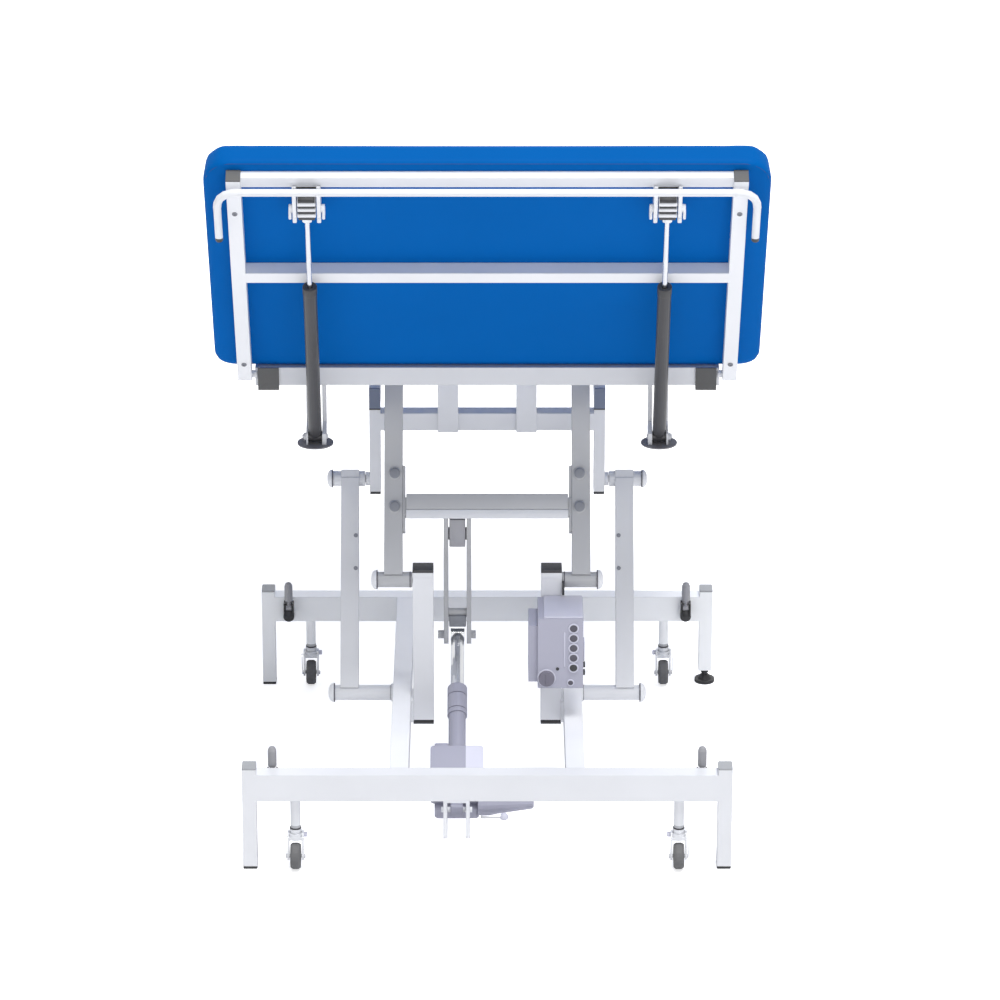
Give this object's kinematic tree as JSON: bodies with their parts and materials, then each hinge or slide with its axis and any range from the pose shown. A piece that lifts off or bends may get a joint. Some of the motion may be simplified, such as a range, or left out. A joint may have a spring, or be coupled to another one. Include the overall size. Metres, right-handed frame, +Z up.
{
  "type": "electric bobath table",
  "caption": "Wide electric treatment table with a folding backrest, gas springs, a parallel lifting frame and retractable castors under a four-leg base.",
  "frame": {"origin": "centre of the footprint of the whole table, on the floor", "axes": "+Z up; +Y from the head end, where the backrest folds, to the foot end; +X to the right as seen from the head end"},
  "size_m": [1.164, 1.7396, 1.5484],
  "materials": {
    "white_paint": "white powder coat, smooth",
    "blue_vinyl": "blue upholstery vinyl, fine grain",
    "cap_plastic": "dark grey moulded end caps",
    "leg_cap_plastic": "mid grey moulded caps",
    "black_plastic": "black moulded plastic",
    "black_steel": "black coated steel",
    "chrome": "bright plated",
    "spring_paint": "dark grey paint, satin",
    "lavender_plastic": "pale lavender grey plastic",
    "wheel_rubber": "grey rubber tread",
    "handle_plastic": "mid grey moulded grip"
  },
  "bodies": {
    "base": {"base_head_beam": "white_paint", "base_foot_beam": "white_paint", "base_rail_left": "white_paint", "base_rail_right": "white_paint", "post_cap_left": "black_plastic", "post_cap_right": "black_plastic", "actuator_bracket": "white_paint", "control_box": "lavender_plastic", "leg_cap_head_left": "leg_cap_plastic", "leg_cap_head_right": "leg_cap_plastic", "leg_cap_foot_left": "leg_cap_plastic", "leg_cap_foot_right": "leg_cap_plastic", "leg_foot_head_left": "black_plastic", "leg_foot_head_right": "black_plastic", "leg_foot_foot_left": "black_plastic"},
    "levelling_foot_turning": {"levelling_foot": "black_plastic"},
    "dial": {"control_box_dial": "handle_plastic"},
    "inner_arms": {"inner_arm_left": "white_paint", "inner_arm_right": "white_paint", "lift_crossbar": "white_paint"},
    "outer_arms": {"outer_arm_left": "white_paint", "outer_arm_right": "white_paint"},
    "upper_frame": {"main_frame": "white_paint", "lift_hanger_frame": "white_paint", "main_frame_cap_left": "cap_plastic", "main_frame_cap_right": "cap_plastic", "hanger_cap_left": "cap_plastic", "hanger_cap_right": "cap_plastic", "seat_pad": "blue_vinyl", "spring_disc_left": "cap_plastic", "spring_disc_right": "cap_plastic"},
    "backrest": {"backrest_frame": "white_paint", "backrest_pad": "blue_vinyl", "backrest_cap_left": "cap_plastic", "backrest_cap_right": "cap_plastic"},
    "release": {"release_bar": "white_paint"},
    "actuator_housing": {"actuator_body": "lavender_plastic"},
    "actuator_piston": {"actuator_rod": "chrome"},
    "spring_cylinder_left": {"gas_spring_cylinder_left": "spring_paint"},
    "spring_rod_left": {"gas_spring_rod_left": "chrome"},
    "spring_cylinder_right": {"gas_spring_cylinder_right": "spring_paint"},
    "spring_rod_right": {"gas_spring_rod_right": "chrome"},
    "castor_lever_head_left_arm": {"castor_lever_head_left": "handle_plastic"},
    "castor_stem_head_left_slider": {"castor_stem_head_left": "black_steel"},
    "castor_fork_head_left_swivel": {"castor_fork_head_left": "chrome"},
    "castor_wheel_head_left_roller": {"castor_wheel_head_left": "wheel_rubber"},
    "castor_lever_head_right_arm": {"castor_lever_head_right": "handle_plastic"},
    "castor_stem_head_right_slider": {"castor_stem_head_right": "black_steel"},
    "castor_fork_head_right_swivel": {"castor_fork_head_right": "chrome"},
    "castor_wheel_head_right_roller": {"castor_wheel_head_right": "wheel_rubber"},
    "castor_lever_foot_left_arm": {"castor_lever_foot_left": "handle_plastic"},
    "castor_stem_foot_left_slider": {"castor_stem_foot_left": "black_steel"},
    "castor_fork_foot_left_swivel": {"castor_fork_foot_left": "chrome"},
    "castor_wheel_foot_left_roller": {"castor_wheel_foot_left": "wheel_rubber"},
    "castor_lever_foot_right_arm": {"castor_lever_foot_right": "handle_plastic"},
    "castor_stem_foot_right_slider": {"castor_stem_foot_right": "black_steel"},
    "castor_fork_foot_right_swivel": {"castor_fork_foot_right": "chrome"},
    "castor_wheel_foot_right_roller": {"castor_wheel_foot_right": "wheel_rubber"}
  },
  "joints": [
    {"name": "lift", "type": "hinge", "parent": "base", "child": "inner_arms", "pos_m": [0, -0.40825, 0.4865], "axis": [-1, 0, 0], "range_deg": [0, 53]},
    {"name": "outer_arm_swing", "type": "hinge", "parent": "base", "child": "outer_arms", "pos_m": [0, -0.34125, 0.1895], "axis": [-1, 0, 0], "range_deg": [0, 53]},
    {"name": "table_level", "type": "hinge", "parent": "inner_arms", "child": "upper_frame", "pos_m": [0, -0.18088, 0.90526], "axis": [-1, 0, 0], "range_deg": [-53, 0]},
    {"name": "actuator_tilt", "type": "hinge", "parent": "base", "child": "actuator_housing", "pos_m": [-0.065, -0.76975, 0.1043], "axis": [1, 0, 0], "range_deg": [0, 13]},
    {"name": "actuator_stroke", "type": "slide", "parent": "actuator_housing", "child": "actuator_piston", "axis": [0, -0.8874, -0.4611], "range_m": [0, 0.134]},
    {"name": "backrest_hinge", "type": "hinge", "parent": "upper_frame", "child": "backrest", "pos_m": [0, -0.38175, 0.9525], "axis": [-1, 0, 0], "range_deg": [-59.2, 10]},
    {"name": "spring_tilt_left", "type": "hinge", "parent": "upper_frame", "child": "spring_cylinder_left", "pos_m": [-0.37, -0.38925, 0.812], "axis": [-1, 0, 0], "range_deg": [-51.5, 9]},
    {"name": "spring_stroke_left", "type": "slide", "parent": "spring_cylinder_left", "child": "spring_rod_left", "axis": [0, -0.4392, 0.8984], "range_m": [-0.113, 0.02]},
    {"name": "spring_tilt_right", "type": "hinge", "parent": "upper_frame", "child": "spring_cylinder_right", "pos_m": [0.37, -0.38925, 0.812], "axis": [-1, 0, 0], "range_deg": [-51.5, 9]},
    {"name": "spring_stroke_right", "type": "slide", "parent": "spring_cylinder_right", "child": "spring_rod_right", "axis": [0, -0.4392, 0.8984], "range_m": [-0.113, 0.02]},
    {"name": "release_bar_turn", "type": "hinge", "parent": "backrest", "child": "release", "pos_m": [0, -0.72584, 1.46918], "axis": [-1, 0, 0], "range_deg": [0, 12], "stiffness_Nm_per_rad": 8, "springref_deg": -5.73},
    {"name": "lever_head_left", "type": "hinge", "parent": "base", "child": "castor_lever_head_left_arm", "pos_m": [-0.456, -0.78925, 0.198], "axis": [-1, 0, 0], "range_deg": [0, 80]},
    {"name": "stem_drop_head_left", "type": "slide", "parent": "base", "child": "castor_stem_head_left_slider", "axis": [0, 0, -1], "range_m": [0, 0.0225]},
    {"name": "swivel_head_left", "type": "hinge", "parent": "castor_stem_head_left_slider", "child": "castor_fork_head_left_swivel", "pos_m": [-0.407, -0.82425, 0.07], "axis": [0, 0, 1], "continuous": true},
    {"name": "roll_head_left", "type": "hinge", "parent": "castor_fork_head_left_swivel", "child": "castor_wheel_head_left_roller", "pos_m": [-0.407, -0.84125, 0.0295], "axis": [1, 0, 0], "continuous": true},
    {"name": "lever_head_right", "type": "hinge", "parent": "base", "child": "castor_lever_head_right_arm", "pos_m": [0.456, -0.78925, 0.198], "axis": [-1, 0, 0], "range_deg": [0, 80]},
    {"name": "stem_drop_head_right", "type": "slide", "parent": "base", "child": "castor_stem_head_right_slider", "axis": [0, 0, -1], "range_m": [0, 0.0225]},
    {"name": "swivel_head_right", "type": "hinge", "parent": "castor_stem_head_right_slider", "child": "castor_fork_head_right_swivel", "pos_m": [0.407, -0.82425, 0.07], "axis": [0, 0, 1], "continuous": true},
    {"name": "roll_head_right", "type": "hinge", "parent": "castor_fork_head_right_swivel", "child": "castor_wheel_head_right_roller", "pos_m": [0.407, -0.84125, 0.0295], "axis": [1, 0, 0], "continuous": true},
    {"name": "lever_foot_left", "type": "hinge", "parent": "base", "child": "castor_lever_foot_left_arm", "pos_m": [-0.456, 0.12475, 0.198], "axis": [1, 0, 0], "range_deg": [0, 80]},
    {"name": "stem_drop_foot_left", "type": "slide", "parent": "base", "child": "castor_stem_foot_left_slider", "axis": [0, 0, -1], "range_m": [0, 0.0225]},
    {"name": "swivel_foot_left", "type": "hinge", "parent": "castor_stem_foot_left_slider", "child": "castor_fork_foot_left_swivel", "pos_m": [-0.407, 0.15975, 0.07], "axis": [0, 0, 1], "continuous": true},
    {"name": "roll_foot_left", "type": "hinge", "parent": "castor_fork_foot_left_swivel", "child": "castor_wheel_foot_left_roller", "pos_m": [-0.407, 0.14275, 0.0295], "axis": [1, 0, 0], "continuous": true},
    {"name": "lever_foot_right", "type": "hinge", "parent": "base", "child": "castor_lever_foot_right_arm", "pos_m": [0.456, 0.12475, 0.198], "axis": [1, 0, 0], "range_deg": [0, 80]},
    {"name": "stem_drop_foot_right", "type": "slide", "parent": "base", "child": "castor_stem_foot_right_slider", "axis": [0, 0, -1], "range_m": [0, 0.0225]},
    {"name": "swivel_foot_right", "type": "hinge", "parent": "castor_stem_foot_right_slider", "child": "castor_fork_foot_right_swivel", "pos_m": [0.407, 0.15975, 0.07], "axis": [0, 0, 1], "continuous": true},
    {"name": "roll_foot_right", "type": "hinge", "parent": "castor_fork_foot_right_swivel", "child": "castor_wheel_foot_right_roller", "pos_m": [0.407, 0.14275, 0.0295], "axis": [1, 0, 0], "continuous": true},
    {"name": "levelling_turn", "type": "hinge", "parent": "base", "child": "levelling_foot_turning", "pos_m": [0.5035, 0.15975, 0.01], "axis": [0, 0, 1], "continuous": true},
    {"name": "dial_turn", "type": "hinge", "parent": "base", "child": "dial", "pos_m": [0.128, -0.55925, 0.317], "axis": [0, -1, 0], "range_deg": [0, 270]}
  ],
  "couplings": [
    {"joint": "outer_arm_swing", "follows": "lift", "ratio": 1},
    {"joint": "table_level", "follows": "lift", "ratio": -1},
    {"joint": "actuator_tilt", "follows": "lift", "ratio": 0.195},
    {"joint": "actuator_stroke", "follows": "lift", "m_per_rad": 0.144},
    {"joint": "spring_tilt_left", "follows": "backrest_hinge", "ratio": 0.86},
    {"joint": "spring_stroke_left", "follows": "backrest_hinge", "m_per_rad": 0.107},
    {"joint": "spring_tilt_right", "follows": "backrest_hinge", "ratio": 0.86},
    {"joint": "spring_stroke_right", "follows": "backrest_hinge", "m_per_rad": 0.107},
    {"joint": "stem_drop_head_left", "follows": "lever_head_left", "m_per_rad": 0.016},
    {"joint": "stem_drop_head_right", "follows": "lever_head_right", "m_per_rad": 0.016},
    {"joint": "stem_drop_foot_left", "follows": "lever_foot_left", "m_per_rad": 0.016},
    {"joint": "stem_drop_foot_right", "follows": "lever_foot_right", "m_per_rad": 0.016}
  ]
}
